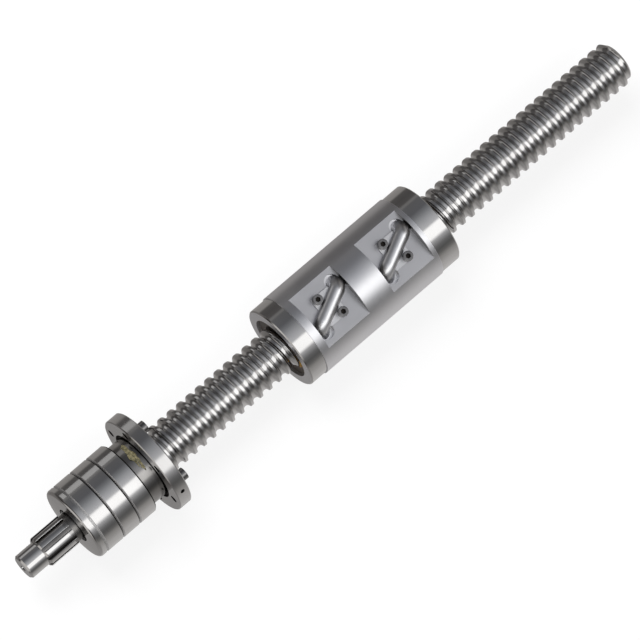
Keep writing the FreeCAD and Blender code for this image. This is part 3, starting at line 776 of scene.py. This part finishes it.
# The sockets: near-black steel as painted shade.
refinish(flange_screws, deep_shade_steel, lambda spot, normal: spot.x > FLANGE_THICKNESS + MARGIN
         and any((spot.yz - middle).length < FLANGE_SOCKET_REACH for middle in screw_middles))

# %% [markdown]
# ## The nut
# The nut's two end lands are ground after the body has been tumbled, because they seat in the
# housing.  So the faces of the lands, their chamfers and the end faces get the mirror finish, and the
# rest of the nut stays satin.  The milled flats are duller, and the end walls of their pockets get a
# darker steel as painted shade.

# %% Nut shell
NUT_EDGE = 0.3
COUNTERBORE_RADIUS = 28.5
DRIVE_LAND = 16.0
FREE_LAND = 19.2
FLAT_HEIGHT = 29.7
# The least part of a face's normal along the screw for an end wall, and upwards for a flat.
ENDWAYS = 0.9
LEVEL = 0.99

nut_low, nut_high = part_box("nut_body")
drive_step = nut_low.x / MM + DRIVE_LAND
free_step = nut_high.x / MM - FREE_LAND
nut_shell = dressed_copy(["nut_body"], "nut_shell", "nut", nut_steel,
                         NUT_EDGE, lambda spot: spot.yz.length > COUNTERBORE_RADIUS - NEAR)
refinish(nut_shell, land_steel, lambda spot, normal: spot.yz.length > COUNTERBORE_RADIUS + NEAR
         and not drive_step - NEAR < spot.x < free_step + NEAR)
# The end walls of the flats' pockets: a darker steel as painted shade.
refinish(nut_shell, recess_shade_steel, lambda spot, normal: spot.yz.length > COUNTERBORE_RADIUS + MARGIN
         and abs(normal.x) > ENDWAYS and drive_step + MARGIN < spot.x < free_step - MARGIN)
refinish(nut_shell, flat_steel,
         lambda spot, normal: abs(spot.z - FLAT_HEIGHT) < NEAR and normal.z > LEVEL)

# %% [markdown]
# ## The return tubes
# Each tube is bent from two pressed halves, carries the balls back across the nut, and is held down by
# two stamped lugs with cap screws.  The tubes are round as they are, and the lugs get broken edges.

# %% Tubes and lugs
LUG_EDGE = 0.25

for number in (1, 2):
    dressed_copy([f"return_tube_{number}"], f"ball_tube_{number}", "nut", tube_steel)
    dressed_copy([f"tube_lugs_{number}"], f"tube_feet_{number}", "nut", lug_steel,
                 LUG_EDGE, lambda spot: True)

# %% [markdown]
# The lugs' cap screws stand in two pairs, one pair for each circuit of balls.  Their sockets are found
# from the nut's middle and get the near-black steel too, as painted shade.

# %% Lug screws
CIRCUIT_PLACE = 35.0
LUG_SCREW_ALONG = 4.75
LUG_SCREW_ACROSS = 10.1
LUG_SOCKET_REACH = 2.1
SOCKET_HEIGHT = 2.5

nut_middle = (nut_low.x + nut_high.x) / 2 / MM
lug_screw_middles = [
    Vector((nut_middle + circuit * CIRCUIT_PLACE - side * LUG_SCREW_ALONG, side * LUG_SCREW_ACROSS))
    for circuit in (-1, 1) for side in (-1, 1)]
lug_screws = dressed_copy(["lug_screws"], "lug_screw_set", "nut", screw_steel)
# The sockets: near-black steel as painted shade.
refinish(lug_screws, deep_shade_steel, lambda spot, normal: spot.z > FLAT_HEIGHT + SOCKET_HEIGHT
         and any((spot.xy - middle).length < LUG_SOCKET_REACH for middle in lug_screw_middles))

# %% [markdown]
# ## Grease
# The bearings were packed by hand, and some grease has squeezed out round the flange's neck, behind the
# flange and at the nut's wiper.  Each dab starts as a ball, a fixed noise makes it lumpy, and it is
# flattened and wrapped about the screw's axis.

# %% Grease dabs
LUMP_DEPTH = 0.9
LUMPS_ACROSS = 4


def grease_dab(name, body, material, place, radius, turn, size):
    """A dab at place along the axis, with size (along, thick, around) in mm, at a turn from +Y."""
    bm = bmesh.new()
    bmesh.ops.create_icosphere(bm, subdivisions=4, radius=0.5)
    for vert in bm.verts:
        lump = 1.0 + LUMP_DEPTH * noise.noise(vert.co * LUMPS_ACROSS + Vector((place, radius, turn)))
        along, thick, around = (c * lump * s for c, s in zip(vert.co, size))
        angle = math.radians(turn) + around / radius
        reach = radius + thick
        vert.co = Vector((place + along, reach * math.cos(angle), reach * math.sin(angle))) * MM
    return finish_piece(bm, name, body, material)


grease_dab("neck_grease", "support", grease, -6.2, 28.7, 62, (5.0, 2.0, 20))
grease_dab("neck_grease_low", "support", grease, -5.2, 28.7, 88, (2.0, 1.4, 9))
grease_dab("flange_grease", "support", grease, 12.6, 24.5, 45, (2.2, 2.4, 4.5))
grease_dab("wiper_grease", "nut", old_grease, nut_low.x / MM + 1.8, 23.6, 151, (3.0, 3.0, 6.0))

# %% [markdown]
# ## The pieces that stay as they are
# Balls, cages, inner rings, seal, wipers and the black locking parts have the right shape and hardly
# show, so the solids stay and only get their finishes.

# %% Finishes of the inner solids
INNER = {
    "lock_nut": black_steel, "lock_washer": black_steel, "spacer_sleeve": black_steel,
    "shaft_seal": seal_rubber, "nut_wiper_drive_side": wiper_plastic,
    "nut_wiper_free_side": wiper_plastic, "nut_balls_1": ball_steel, "nut_balls_2": ball_steel}
for number in (1, 2, 3):
    INNER[f"bearing_inner_ring_{number}"] = ring_steel
    INNER[f"bearing_cage_{number}"] = cage_brass
    INNER[f"bearing_balls_{number}"] = ball_steel
for name, material in INNER.items():
    nodes[name].data.materials.clear()
    nodes[name].data.materials.append(material)
print("inner solids with finishes:", len(INNER))
